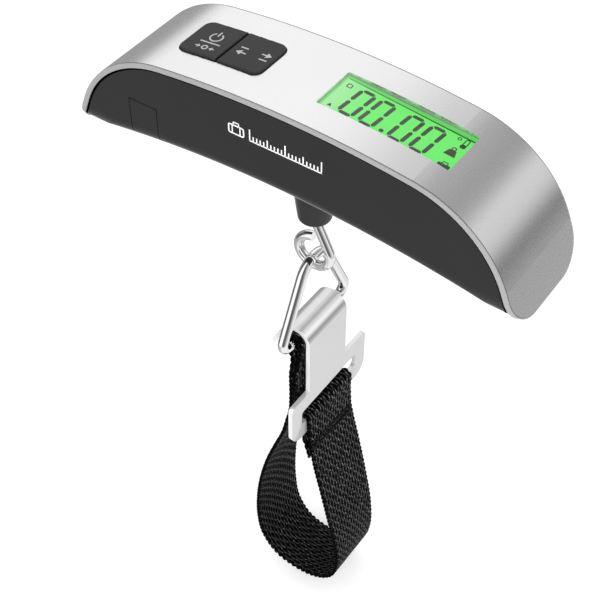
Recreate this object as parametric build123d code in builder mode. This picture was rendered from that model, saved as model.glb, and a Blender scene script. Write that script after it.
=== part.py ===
from build123d import *
from math import atan2, cos, degrees, radians, sin, sqrt
import os

# Hanging luggage scale: a domed case with a display and two keys, a swivelling
# eye, a triangular link and a webbing loop that closes with a steel hook plate.
# Millimetres. The origin is the top of the dome, where the hand bears.
# X runs along the case, -Y is the front, +Z is up.

os.makedirs("parts", exist_ok=True)

# ---- Case outline ----
crown_radius = 283.0
crown_angle = 7.26
shoulder_radius = 32.4
slope_angle = 68.4
slope_length = 11.4
case_half_depth = 15.5
skin_thickness = 0.5
shell_thickness = 1.4
end_corner_radius = 9.0
rim_lip = 0.3
rim_drop = 0.05
skin_gap = 0.1
skin_margin = rim_lip + skin_gap
screw_post_radius = 2.4
board_peg_radius = 0.9
board_shoulder_radius = 1.7
board_peg_length = 1.6

# ---- Lower housing ----
housing_inset = 1.5
housing_half_depth = 15.1
housing_end_z = -33.2
arch_z = -26.7
wall = 1.8
belly_radius = 5.5
foot_corner_radius = 8.0
foot_section_height = 60
boss_bottom_z = -43.6
boss_bottom_radius = 4.5
boss_top_radius = 6.75
boss_edge_radius = 1.2
boss_root_lift = 1.5
boss_mouth_radius = 3.1
boss_mouth_depth = 4.5
shank_hole_radius = 2.0
screw_head_radius = 2.0
screw_head_recess = 3.2
screw_head_height = 1.6
screw_radius = 0.98
screw_slot_length = 2.4
screw_slot_width = 0.6
screw_slot_depth = 0.9
grip_fit = 0.02
free_fit = 0.12
hollow_top_z = 2.0

# ---- Display and keys ----
window_x = 22.35
window_length = 35.7
window_width = 13.9
window_corner = 0.5
pad_x = -24.55
pad_length = 25.1
pad_width = 14.1
pad_corner = 2.75
key_gap = 0.25
key_groove = 0.6
key_proud = 0.55
key_travel = 0.8
lens_gap = 0.12
lens_drop = 0.1
lens_thickness = 0.8
lcd_length = 37.6
lcd_width = 15.6
lcd_glass_thickness = 1.6
lcd_clearance = 0.12
lcd_frame_wall = 1.0
backlight_thickness = 2.2
key_flange_reach = 0.8
key_flange_thickness = 0.9
key_edge_radius = 0.25
plunger_radius = 1.5
plunger_bottom_z = -6.5
switch_side = 4.6
switch_height = 1.2
switch_stem_radius = 1.1
lcd_fit = 0.2

# ---- Board, load cell and cell ----
board_top_z = -9.4
board_thickness = 1.0
board_half_width = 7.6
board_corner = 1.0
board_left_x = -41.0
board_right_x = 42.0
board_peg_places = [(-4, -5.2), (-4, 5.2), (-39.4, 0)]
controller_x = 16.0
controller_radius = 4.2
controller_height = 1.3
controller_edge_radius = 1.0
case_screw_places = [(-20, -10.4), (-20, 10.4), (50, -9.0), (50, 9.0)]
case_screw_top_z = -14.0
case_screw_bite = 4.0
beam_half_length = 30.0
beam_corner = 1.0
beam_width = 10.0
beam_thickness = 4.0
beam_top_z = -16.0
beam_screw_x = 26.0
beam_screw_radius = 1.48
beam_screw_head_radius = 2.7
beam_screw_head_height = 1.7
beam_screw_depth = 5.0
beam_slot_length = 3.2
beam_slot_width = 0.7
beam_post_radius = 3.4
gauge_x = 11.0
gauge_length = 7.0
gauge_width = 4.6
gauge_film = 0.12
gauge_slot_height = 2.6
cell_x = -42.0
cell_radius = 10.0
cell_thickness = 3.2
cell_can_step = 0.4
cell_clearance = 0.3
cradle_fit = 0.1
cradle_height = 5.2
cradle_roof = 1.2
cradle_hole_radius = 3.0
contact_thickness = 0.3
contact_width = 4.0
contact_length = 14.0
contact_leg_x = 5.5
contact_leg_width = 3.0
lower_contact_length = 15.0

# ---- Battery cover ----
cover_length = 22.8
cover_half_width = 11.2
cover_tab_length = 8.5
cover_tab_top_z = -16.3
cover_thickness = 1.6
cover_gap = 0.25
cover_plate_rise = 3.2
cover_region_drop = 12.0

# ---- Eye ----
rod_radius = 1.4
eye_z = -55.6
eye_radius = 5.0
eye_lean = 26.0
eye_end_angle = 94.0
shank_bend_radius = 3.0
running_gap = 0.05
washer_radius = 3.6
washer_thickness = 0.6
nut_radius = 3.1
nut_height = 2.4
shank_past_nut = 0.6

# ---- Link ----
link_wire_radius = 1.5
link_apex_z = -64.1
link_apex_radius = 6.6
link_half_angle = 25.8
link_corner_radius = 3.0
bar_z = -83.0

# ---- Hook plate ----
plate_thickness = 1.3
hook_z = -82.9
hook_inner_radius = 3.7
hook_wrap_angle = 151.5
lip_length = 8.0
neck_half_width = 9.1
ear_front_y = -17.7
ear_back_y = 19.8
ear_top_z = -101.8
plate_bottom_z = -118.5
plate_corner = 5.0
ear_corner = 1.5
slot_front_y = -12.8
slot_back_y = 14.9
slot_top_z = -107.4
slot_bottom_z = -112.8
slot_corner = 1.2

# ---- Webbing ----
webbing_half_width = 12.5
webbing_thickness = 1.3
bar_wrap_radius = 2.1
wrap_open_angle = 12.0
slot_wrap_gap = 0.25
slot_turn_drop = 0.2
hem_top_x = 1.85
hem_join_drop = 7.0
hem_length = 18.0
loop_bottom_z = -196.2
loop_left_x = -14.4
loop_right_x = 16.0
loop_bend_z = -166.0
loop_start_z = -112.0
loop_end_z = -122.0
lower_hem_z = -128.0


# ---- Outline helpers ----
shoulder_x = (crown_radius - shoulder_radius) * sin(radians(crown_angle))
shoulder_z = (crown_radius - shoulder_radius) * cos(radians(crown_angle)) - crown_radius


def slope_point(inset, run, side):
    """A point on an end slope of the case, run below the shoulder and set in by inset."""
    radius = shoulder_radius - inset
    x = shoulder_x + radius * sin(radians(slope_angle)) + run * cos(radians(slope_angle))
    z = shoulder_z + radius * cos(radians(slope_angle)) - run * sin(radians(slope_angle))
    return (side * x, z)


def slope_run(inset, z):
    """How far down the slope a height lies."""
    radius = shoulder_radius - inset
    return (shoulder_z + radius * cos(radians(slope_angle)) - z) / sin(radians(slope_angle))


def dome_line(inset, run):
    """The crown, both shoulders and both end slopes, set in by inset."""
    turn = slope_angle - crown_angle
    radius = shoulder_radius - inset
    CenterArc((0, -crown_radius), crown_radius - inset, 90 - crown_angle, 2 * crown_angle)
    CenterArc((shoulder_x, shoulder_z), radius, 90 - slope_angle, turn)
    CenterArc((-shoulder_x, shoulder_z), radius, 90 + crown_angle, turn)
    for side in (-1, 1):
        Line(slope_point(inset, 0, side), slope_point(inset, run, side))


def dome_band(outer_inset, inner_inset, run):
    """The face between two insets of the dome, as a strip of even thickness."""
    with BuildLine() as outline:
        dome_line(outer_inset, run)
        dome_line(inner_inset, run)
        for side in (-1, 1):
            Line(slope_point(outer_inset, run, side), slope_point(inner_inset, run, side))
    make_face(outline.edges())


def dome_section(inset, end_z, middle_z):
    """The dome closed below by the arched underside."""
    run = slope_run(inset, end_z)
    with BuildLine() as outline:
        dome_line(inset, run)
        ThreePointArc(slope_point(inset, run, -1), (0, middle_z), slope_point(inset, run, 1))
    make_face(outline.edges())


def crown_height(x, inset=0):
    """Height of the dome at x, over the crown and the start of the shoulder."""
    if abs(x) <= crown_radius * sin(radians(crown_angle)):
        return sqrt((crown_radius - inset) ** 2 - x**2) - crown_radius
    return shoulder_z + sqrt((shoulder_radius - inset) ** 2 - (abs(x) - shoulder_x) ** 2)


def arch_height(x):
    """Height of the arched underside at x."""
    end_x = slope_point(housing_inset, slope_run(housing_inset, housing_end_z), 1)[0]
    drop = arch_z - housing_end_z
    arch_radius = (end_x**2 + drop**2) / (2 * drop)
    return arch_z - arch_radius + sqrt(arch_radius**2 - x**2)


def finish(part, label):
    """Labels a finished piece and writes it out."""
    part.label = label
    export_step(part, f"parts/{label}.step")


def window_openings():
    """The display window and the key opening, seen from above."""
    with Locations((window_x, 0)):
        RectangleRounded(window_length, window_width, window_corner)
    with Locations((pad_x, 0)):
        RectangleRounded(pad_length, pad_width, pad_corner)


def end_corner_edges(part):
    """The short edges at the four lower corners of a dome sheet."""
    return part.edges().filter_by(
        lambda edge: edge.length < 2 * shell_thickness and edge.center().Z < housing_end_z + 2
        and abs(edge.center().Y) > case_half_depth / 2
    )


# ---- Top shell: silver frame under the skin, with posts for the case screws ----
with BuildPart() as shell_posts:
    with BuildSketch(Plane.XY.offset(case_screw_top_z)):
        with Locations(*case_screw_places):
            Circle(screw_post_radius)
    extrude(amount=-case_screw_top_z)
    with BuildSketch(Plane.XY.offset(board_top_z)):
        with Locations(*board_peg_places):
            Circle(board_shoulder_radius)
    extrude(amount=-board_top_z)
    with BuildSketch(Plane.XY.offset(board_top_z)):
        with Locations(*board_peg_places):
            Circle(board_peg_radius)
    extrude(amount=-board_peg_length)
    with BuildSketch(Plane.XZ):
        dome_section(shell_thickness - skin_thickness, housing_end_z, arch_z)
    extrude(amount=case_half_depth, both=True, mode=Mode.INTERSECT)

with BuildPart() as skin_seat:
    with BuildSketch(Plane.XZ):
        dome_band(-rim_lip, skin_thickness, slope_length - rim_lip)
    extrude(amount=case_half_depth - rim_lip, both=True)
    fillet(end_corner_edges(skin_seat), end_corner_radius - rim_lip)

with BuildPart() as top_shell:
    with BuildSketch(Plane.XZ):
        dome_band(rim_drop, shell_thickness, slope_length)
    extrude(amount=case_half_depth, both=True)
    fillet(end_corner_edges(top_shell), end_corner_radius)
    add(skin_seat.part, mode=Mode.SUBTRACT)
    with BuildSketch():
        window_openings()
    extrude(amount=-8, mode=Mode.SUBTRACT)
    add(shell_posts.part)
    with BuildSketch(Plane.XY.offset(case_screw_top_z)):
        with Locations(*case_screw_places):
            Circle(screw_radius + grip_fit)
    extrude(amount=case_screw_bite + 0.2, mode=Mode.SUBTRACT)
finish(top_shell.part, "top_shell")

# ---- Top skin: thin satin steel sheet bonded over the shell ----
with BuildPart() as top_skin:
    with BuildSketch(Plane.XZ):
        dome_band(0, skin_thickness, slope_length - skin_margin)
    extrude(amount=case_half_depth - skin_margin, both=True)
    fillet(end_corner_edges(top_skin), end_corner_radius - skin_margin)
    with BuildSketch(Plane.XY.offset(1)):
        window_openings()
    extrude(amount=-8, mode=Mode.SUBTRACT)
finish(top_skin.part, "top_skin")

# ---- Lower housing: dark tub with the boss that guides the eye ----
with BuildPart() as housing_blank:
    with BuildSketch(Plane.XZ):
        dome_section(housing_inset, housing_end_z, arch_z)
    extrude(amount=housing_half_depth, both=True)
    belly_edges = housing_blank.edges().filter_by(
        lambda edge: edge.center().Z < arch_z + 1 and edge.length > case_half_depth * 4
    )
    fillet(belly_edges, belly_radius)
    with BuildSketch(Plane.YZ):
        with Locations((0, housing_end_z + foot_section_height / 2)):
            RectangleRounded(2 * housing_half_depth, foot_section_height, foot_corner_radius)
    extrude(amount=crown_radius, both=True, mode=Mode.INTERSECT)

with BuildPart() as housing_hollow:
    hollow_run = slope_run(housing_inset + wall, housing_end_z + wall)
    hollow_low = [slope_point(housing_inset + wall, hollow_run, side) for side in (-1, 1)]
    hollow_rise = hollow_top_z - hollow_low[1][1]
    lean = hollow_rise * cos(radians(slope_angle)) / sin(radians(slope_angle))
    with BuildSketch(Plane.XZ):
        with BuildLine():
            ThreePointArc(hollow_low[0], (0, arch_z + wall), hollow_low[1])
            Polyline(
                hollow_low[1],
                (hollow_low[1][0] - lean, hollow_low[1][1] + hollow_rise),
                (hollow_low[0][0] + lean, hollow_low[0][1] + hollow_rise),
                hollow_low[0],
            )
        make_face()
    extrude(amount=housing_half_depth - wall, both=True)
    hollow_edges = housing_hollow.edges().filter_by(
        lambda edge: edge.center().Z < arch_z + wall + 1 and edge.length > case_half_depth * 4
    )
    fillet(hollow_edges, belly_radius - wall)


def cover_region(gap):
    """The plate and the thumb tab of the battery cover, grown by a gap."""
    with BuildSketch(Plane.XY.offset(arch_z - cover_region_drop)) as plate_area:
        with Locations((cell_x, 0)):
            Rectangle(cover_length + 2 * gap, 2 * (cover_half_width + gap))
    extrude(plate_area.sketch, amount=cover_region_drop + cover_plate_rise)
    with BuildSketch(Plane.XY.offset(arch_z - cover_region_drop)) as tab_area:
        with Locations((cell_x, -cover_half_width)):
            Rectangle(cover_tab_length + 2 * gap, cover_half_width)
    extrude(tab_area.sketch, amount=cover_region_drop + cover_tab_top_z - arch_z + gap)


with BuildPart() as cover_opening:
    cover_region(cover_gap)

boss_root_z = arch_z + boss_root_lift

with BuildPart() as lower_housing:
    add(housing_blank.part)
    add(housing_hollow.part, mode=Mode.SUBTRACT)
    with BuildSketch(Plane.XY.offset(housing_end_z)):
        with Locations(*case_screw_places):
            Circle(screw_post_radius + 0.3)
        with Locations((-beam_screw_x, 0), (beam_screw_x, 0)):
            Circle(beam_post_radius)
    extrude(amount=beam_top_z - beam_thickness - housing_end_z)
    with BuildSketch(Plane.XY.offset(beam_top_z - beam_thickness)):
        with Locations(*case_screw_places):
            Circle(screw_post_radius + 0.3)
    extrude(amount=case_screw_top_z - beam_top_z + beam_thickness)
    add(housing_blank.part, mode=Mode.INTERSECT)
    with Locations((0, 0, (boss_bottom_z + boss_root_z) / 2)):
        Cone(boss_bottom_radius, boss_top_radius, boss_root_z - boss_bottom_z)
    boss_edge = lower_housing.edges().group_by(Axis.Z)[0]
    fillet(boss_edge, boss_edge_radius)
    with BuildSketch(Plane.XY.offset(boss_bottom_z)):
        Circle(shank_hole_radius)
    extrude(amount=arch_z + wall + 1 - boss_bottom_z, mode=Mode.SUBTRACT)
    with BuildSketch(Plane.XY.offset(boss_bottom_z)):
        Circle(boss_mouth_radius)
    extrude(amount=boss_mouth_depth, mode=Mode.SUBTRACT)
    with BuildSketch(Plane.XY.offset(housing_end_z)):
        with Locations(*case_screw_places):
            Circle(screw_radius + free_fit)
    extrude(amount=case_screw_top_z - housing_end_z, mode=Mode.SUBTRACT)
    for screw_x, screw_y in case_screw_places:
        with BuildSketch(Plane.XY.offset(housing_end_z)):
            with Locations((screw_x, screw_y)):
                Circle(screw_head_radius + 0.2)
        extrude(amount=arch_height(screw_x) + screw_head_recess - housing_end_z, mode=Mode.SUBTRACT)
    with BuildSketch(Plane.XY.offset(beam_top_z - beam_thickness)):
        with Locations((-beam_screw_x, 0), (beam_screw_x, 0)):
            Circle(beam_screw_radius + grip_fit)
    extrude(amount=-beam_screw_depth - 0.5, mode=Mode.SUBTRACT)
    add(cover_opening.part, mode=Mode.SUBTRACT)
finish(lower_housing.part, "lower_housing")

# ---- Case screws, driven up from the underside ----
with BuildPart() as case_screws:
    for screw_x, screw_y in case_screw_places:
        head_top_z = arch_height(screw_x) + screw_head_recess
        with BuildSketch(Plane.XY.offset(head_top_z)):
            with Locations((screw_x, screw_y)):
                Circle(screw_head_radius)
        extrude(amount=-screw_head_height)
        with BuildSketch(Plane.XY.offset(head_top_z)):
            with Locations((screw_x, screw_y)):
                Circle(screw_radius)
        extrude(amount=case_screw_top_z + case_screw_bite - head_top_z)
        with BuildSketch(Plane.XY.offset(head_top_z - screw_head_height)):
            with Locations((screw_x, screw_y)):
                Rectangle(screw_slot_length, screw_slot_width)
                Rectangle(screw_slot_width, screw_slot_length)
        extrude(amount=screw_slot_depth, mode=Mode.SUBTRACT)
finish(case_screws.part, "case_screws")

# ---- Battery cover: the plate under the cell and the tab on the front ----
with BuildPart() as cover_block:
    cover_region(0)

with BuildPart() as cover_core:
    with BuildSketch(Plane.XZ):
        dome_section(
            housing_inset + cover_thickness, housing_end_z + cover_thickness, arch_z + cover_thickness
        )
    extrude(amount=housing_half_depth - cover_thickness, both=True)
    core_edges = cover_core.edges().filter_by(
        lambda edge: edge.center().Z < arch_z + cover_thickness + 1 and edge.length > case_half_depth * 4
    )
    fillet(core_edges, belly_radius - cover_thickness)

with BuildPart() as battery_cover:
    add(housing_blank.part)
    add(cover_core.part, mode=Mode.SUBTRACT)
    add(cover_block.part, mode=Mode.INTERSECT)
finish(battery_cover.part, "battery_cover")

# ---- Coin cell in its cradle, lying along the slope of the underside ----
cell_tilt = degrees(atan2(arch_height(cell_x + 1) - arch_height(cell_x - 1), 2))
cell_normal = (-sin(radians(cell_tilt)), 0, cos(radians(cell_tilt)))
cell_along = (cos(radians(cell_tilt)), 0, sin(radians(cell_tilt)))
cell_base_z = arch_height(cell_x) + cover_thickness + contact_thickness + free_fit
cell_base = Plane(origin=(cell_x, 0, cell_base_z), x_dir=cell_along, z_dir=cell_normal)

with BuildPart() as coin_cell:
    with BuildSketch(cell_base):
        Circle(cell_radius - 1.0)
    extrude(amount=cell_can_step)
    with BuildSketch(cell_base.offset(cell_can_step)):
        Circle(cell_radius)
    extrude(amount=cell_thickness - cell_can_step)
finish(coin_cell.part, "coin_cell")

with BuildPart() as battery_cradle:
    with BuildSketch(cell_base):
        Rectangle(cover_length - 2 * cradle_fit, 2 * (cover_half_width - 2 * cradle_fit))
        Circle(cell_radius + cell_clearance, mode=Mode.SUBTRACT)
    extrude(amount=cradle_height)
    with BuildSketch(cell_base.offset(cradle_height)):
        Rectangle(cover_length - 2 * cradle_fit, 2 * (cover_half_width - 2 * cradle_fit))
        Circle(cradle_hole_radius, mode=Mode.SUBTRACT)
    extrude(amount=-cradle_roof)
finish(battery_cradle.part, "battery_cradle")

contact_base = cell_base.offset(cell_thickness + running_gap)

with BuildPart() as battery_contact_plus:
    with BuildSketch(contact_base):
        Rectangle(contact_length, contact_width)
    extrude(amount=contact_thickness)
    with BuildSketch(contact_base):
        with Locations((-contact_leg_x, 0), (contact_leg_x, 0)):
            Rectangle(contact_leg_width, contact_width)
    extrude(amount=cradle_height - cradle_roof - cell_thickness - running_gap)
finish(battery_contact_plus.part, "battery_contact_plus")

with BuildPart() as battery_contact_minus:
    with BuildSketch(cell_base.offset(-contact_thickness - running_gap)):
        Rectangle(contact_leg_width, lower_contact_length)
    extrude(amount=contact_thickness)
finish(battery_contact_minus.part, "battery_contact_minus")

# ---- Display: clear lens, liquid crystal glass and backlight in a black frame ----
with BuildPart() as display_lens:
    with BuildSketch(Plane.XZ):
        dome_band(lens_drop, lens_drop + lens_thickness, slope_length)
    extrude(amount=window_width / 2, both=True)
    with BuildSketch(Plane.XY.offset(1)):
        with Locations((window_x, 0)):
            RectangleRounded(
                window_length - 2 * lens_gap, window_width - 2 * lens_gap, window_corner - lens_gap
            )
    extrude(amount=-8, mode=Mode.INTERSECT)
finish(display_lens.part, "display_lens")

lcd_left_x = window_x - lcd_length / 2
lcd_right_x = window_x + lcd_length / 2
lcd_drop = shell_thickness + lcd_clearance
lcd_left_z = crown_height(lcd_left_x) - lcd_drop
lcd_right_z = crown_height(lcd_right_x) - lcd_drop
lcd_tilt = atan2(lcd_left_z - lcd_right_z, lcd_length)
lcd_face = Plane(
    origin=(window_x, 0, (lcd_left_z + lcd_right_z) / 2),
    x_dir=(cos(lcd_tilt), 0, -sin(lcd_tilt)),
    z_dir=(sin(lcd_tilt), 0, cos(lcd_tilt)),
)

with BuildPart() as lcd_glass:
    with BuildSketch(lcd_face):
        Rectangle(lcd_length, lcd_width)
    extrude(amount=-lcd_glass_thickness)
finish(lcd_glass.part, "lcd_glass")

with BuildPart() as backlight:
    with BuildSketch(lcd_face.offset(-lcd_glass_thickness)):
        Rectangle(lcd_length, lcd_width)
    extrude(amount=-backlight_thickness)
finish(backlight.part, "backlight")

with BuildPart() as lcd_frame:
    with BuildSketch(lcd_face):
        Rectangle(lcd_length + lcd_fit + 2 * lcd_frame_wall, lcd_width + lcd_fit + 2 * lcd_frame_wall)
        Rectangle(lcd_length + lcd_fit, lcd_width + lcd_fit, mode=Mode.SUBTRACT)
    extrude(amount=board_top_z)
    with BuildSketch(Plane.XY.offset(board_top_z)):
        with Locations((window_x, 0)):
            Rectangle(2 * lcd_length, 2 * lcd_width)
    extrude(amount=-board_top_z, mode=Mode.INTERSECT)
    with BuildSketch(Plane.XZ):
        dome_section(shell_thickness + running_gap, housing_end_z, arch_z)
    extrude(amount=case_half_depth, both=True, mode=Mode.INTERSECT)
finish(lcd_frame.part, "lcd_frame")

# ---- Keys, with a flange under the shell and a plunger over each switch ----
flange_top_z = crown_height(pad_x - pad_length / 2 - key_flange_reach, shell_thickness) - 0.1
flange_bottom_z = flange_top_z - key_flange_thickness
key_split = key_groove / 2
key_outer = pad_length / 2 - key_gap
switch_offset = (key_outer + key_split) / 2
flange_length = key_outer - key_split + key_flange_reach
switch_top_z = board_top_z + switch_height

for side, key_name in ((-1, "power_key"), (1, "unit_key")):
    inner_x = pad_x + side * key_split
    with BuildPart() as key:
        with BuildSketch(Plane.XY.offset(flange_bottom_z)):
            with Locations((pad_x, 0)):
                RectangleRounded(2 * key_outer, pad_width - 2 * key_gap, pad_corner - key_gap)
            with Locations((inner_x - side * pad_length, 0)):
                Rectangle(2 * pad_length, pad_width, mode=Mode.SUBTRACT)
        extrude(amount=key_proud - flange_bottom_z)
        with BuildSketch(Plane.XZ):
            dome_section(-key_proud, housing_end_z, arch_z)
        extrude(amount=case_half_depth, both=True, mode=Mode.INTERSECT)
        crown_edges = key.faces().sort_by(Axis.Z)[-1].edges()
        fillet(crown_edges, key_edge_radius)
        with BuildSketch(Plane.XY.offset(flange_top_z)):
            with Locations((inner_x + side * flange_length / 2, 0)):
                Rectangle(flange_length, pad_width + 2 * key_flange_reach)
        extrude(amount=-key_flange_thickness)
        with BuildSketch(Plane.XY.offset(flange_bottom_z)):
            with Locations((pad_x + side * switch_offset, 0)):
                Circle(plunger_radius)
        extrude(amount=plunger_bottom_z - flange_bottom_z)
    finish(key.part, key_name)

    with BuildPart() as switch:
        with BuildSketch(Plane.XY.offset(board_top_z)):
            with Locations((pad_x + side * switch_offset, 0)):
                Rectangle(switch_side, switch_side)
        extrude(amount=switch_height)
        with BuildSketch(Plane.XY.offset(switch_top_z)):
            with Locations((pad_x + side * switch_offset, 0)):
                Circle(switch_stem_radius)
        extrude(amount=plunger_bottom_z - key_travel - running_gap - switch_top_z)
    finish(switch.part, key_name.replace("key", "switch"))

# ---- Circuit board with its sealed controller ----
with BuildPart() as circuit_board:
    with BuildSketch(Plane.XY.offset(board_top_z)):
        with Locations(((board_left_x + board_right_x) / 2, 0)):
            RectangleRounded(board_right_x - board_left_x, 2 * board_half_width, board_corner)
        with Locations(*board_peg_places):
            Circle(board_peg_radius + free_fit, mode=Mode.SUBTRACT)
    extrude(amount=-board_thickness)
finish(circuit_board.part, "circuit_board")

with BuildPart() as controller_seal:
    with BuildSketch(Plane.XY.offset(board_top_z - board_thickness)):
        with Locations((controller_x, 0)):
            Circle(controller_radius)
    extrude(amount=-controller_height)
    fillet(controller_seal.edges().group_by(Axis.Z)[0], controller_edge_radius)
finish(controller_seal.part, "controller_seal")

# ---- Load cell: a steel beam held at both ends and pulled in the middle ----
with BuildPart() as load_cell:
    with BuildSketch(Plane.XY.offset(beam_top_z)):
        RectangleRounded(2 * beam_half_length, beam_width, beam_corner)
        Circle(rod_radius + running_gap, mode=Mode.SUBTRACT)
        with Locations((-beam_screw_x, 0), (beam_screw_x, 0)):
            Circle(beam_screw_radius + free_fit, mode=Mode.SUBTRACT)
    extrude(amount=-beam_thickness)
    with BuildSketch(Plane.XZ):
        for side in (-1, 1):
            with Locations((side * gauge_x, beam_top_z - beam_thickness / 2)):
                SlotCenterToCenter(gauge_length, gauge_slot_height)
    extrude(amount=beam_width, both=True, mode=Mode.SUBTRACT)
finish(load_cell.part, "load_cell")

with BuildPart() as strain_gauges:
    with BuildSketch(Plane.XY.offset(beam_top_z)):
        with Locations((-gauge_x, 0), (gauge_x, 0)):
            Rectangle(gauge_length, gauge_width)
    extrude(amount=gauge_film)
finish(strain_gauges.part, "strain_gauges")

with BuildPart() as beam_screws:
    with BuildSketch(Plane.XY.offset(beam_top_z)):
        with Locations((-beam_screw_x, 0), (beam_screw_x, 0)):
            Circle(beam_screw_head_radius)
    extrude(amount=beam_screw_head_height)
    with BuildSketch(Plane.XY.offset(beam_top_z)):
        with Locations((-beam_screw_x, 0), (beam_screw_x, 0)):
            Circle(beam_screw_radius)
    extrude(amount=-beam_thickness - beam_screw_depth)
    with BuildSketch(Plane.XY.offset(beam_top_z + beam_screw_head_height)):
        for screw_x in (-beam_screw_x, beam_screw_x):
            with Locations((screw_x, 0)):
                Rectangle(beam_slot_length, beam_slot_width)
                Rectangle(beam_slot_width, beam_slot_length)
    extrude(amount=-screw_slot_depth, mode=Mode.SUBTRACT)
finish(beam_screws.part, "beam_screws")

# ---- Eye: one bent rod, its shank turning in the load cell ----
shank_top_z = beam_top_z + washer_thickness + nut_height + shank_past_nut
lean_x = eye_radius * cos(radians(eye_lean))
lean_z = eye_z + eye_radius * sin(radians(eye_lean))
bend_z = lean_z + lean_x * cos(radians(eye_lean)) / sin(radians(eye_lean))
eye_sweep = 360 + eye_lean - eye_end_angle

with BuildPart() as eye:
    with BuildLine(Plane.XZ):
        FilletPolyline((0, shank_top_z), (0, bend_z), (lean_x, lean_z), radius=shank_bend_radius)
        CenterArc((0, eye_z), eye_radius, eye_lean, -eye_sweep)
    with BuildSketch(Plane.XY.offset(shank_top_z)):
        Circle(rod_radius)
    sweep()
finish(eye.part, "eye")

with BuildPart() as eye_washer:
    with BuildSketch(Plane.XY.offset(beam_top_z + running_gap)):
        Circle(washer_radius)
        Circle(rod_radius + free_fit, mode=Mode.SUBTRACT)
    extrude(amount=washer_thickness)
finish(eye_washer.part, "eye_washer")

with BuildPart() as eye_nut:
    with BuildSketch(Plane.XY.offset(beam_top_z + running_gap + washer_thickness)):
        RegularPolygon(nut_radius, 6)
        Circle(rod_radius + grip_fit, mode=Mode.SUBTRACT)
    extrude(amount=nut_height)
finish(eye_nut.part, "eye_nut")

# ---- Link: one round wire bent to a triangle, hanging in the eye ----
leg_top = (
    link_apex_radius * cos(radians(link_half_angle)),
    link_apex_z + link_apex_radius * sin(radians(link_half_angle)),
)
leg_slope = sin(radians(link_half_angle)) / cos(radians(link_half_angle))
leg_foot_y = leg_top[0] + (leg_top[1] - bar_z) * leg_slope

with BuildPart() as link:
    with BuildLine(Plane.YZ):
        CenterArc((0, link_apex_z), link_apex_radius, 90, link_half_angle - 90)
        FilletPolyline(leg_top, (leg_foot_y, bar_z), (0, bar_z), radius=link_corner_radius)
    with BuildSketch(Plane.XZ):
        with Locations((0, link_apex_z + link_apex_radius)):
            Circle(link_wire_radius)
    sweep()
    mirror(about=Plane.XZ)
finish(link.part, "link")

# ---- Hook plate: pressed sheet with a hooked neck, two ears and a webbing slot ----
hook_mid_radius = hook_inner_radius + plate_thickness / 2
lip_start = (
    hook_mid_radius * cos(radians(hook_wrap_angle)),
    hook_z + hook_mid_radius * sin(radians(hook_wrap_angle)),
)
lip_end = (
    lip_start[0] - lip_length * sin(radians(hook_wrap_angle)),
    lip_start[1] + lip_length * cos(radians(hook_wrap_angle)),
)

with BuildPart() as hook_plate:
    with BuildSketch(Plane.XZ):
        with BuildLine():
            CenterArc((0, hook_z), hook_mid_radius, 0, hook_wrap_angle)
            Line(lip_start, lip_end)
        trace(line_width=plate_thickness)
    extrude(amount=neck_half_width, both=True)
    with BuildSketch(Plane.YZ.offset(hook_inner_radius)) as plate_outline:
        with BuildLine():
            Polyline(
                (-neck_half_width, hook_z),
                (-neck_half_width, ear_top_z),
                (ear_front_y, ear_top_z),
                (ear_front_y, plate_bottom_z),
                (ear_back_y, plate_bottom_z),
                (ear_back_y, ear_top_z),
                (neck_half_width, ear_top_z),
                (neck_half_width, hook_z),
                close=True,
            )
        make_face()
        for level, radius in ((plate_bottom_z, plate_corner), (ear_top_z, ear_corner)):
            corners = plate_outline.vertices().filter_by(
                lambda vertex: abs(vertex.X) > neck_half_width + 1 and abs(vertex.Y - level) < 0.1
            )
            fillet(corners, radius)
        with Locations(((slot_front_y + slot_back_y) / 2, (slot_top_z + slot_bottom_z) / 2)):
            RectangleRounded(
                slot_back_y - slot_front_y, slot_top_z - slot_bottom_z, slot_corner, mode=Mode.SUBTRACT
            )
    extrude(amount=plate_thickness)
finish(hook_plate.part, "hook_plate")

# ---- Webbing: sewn round the link's bar, hanging in a loop, sewn through the slot ----
half_web = webbing_thickness / 2
wrap_mid = bar_wrap_radius + half_web
slot_turn = plate_thickness / 2 + slot_wrap_gap + half_web
slot_turn_z = slot_bottom_z - slot_turn_drop
outer_run_x = hook_mid_radius + slot_turn
inner_run_x = hook_mid_radius - slot_turn
main_top_x = hem_top_x - webbing_thickness
hem_join_z = bar_z - hem_join_drop
hem_end_x = outer_run_x - 0.3
hem_foot = (hem_end_x, lower_hem_z)


def wrap_point(side):
    """Where the round wrap leaves the bar on one side."""
    turn = radians(wrap_open_angle)
    return (side * wrap_mid * cos(turn), bar_z - wrap_mid * sin(turn))


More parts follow.
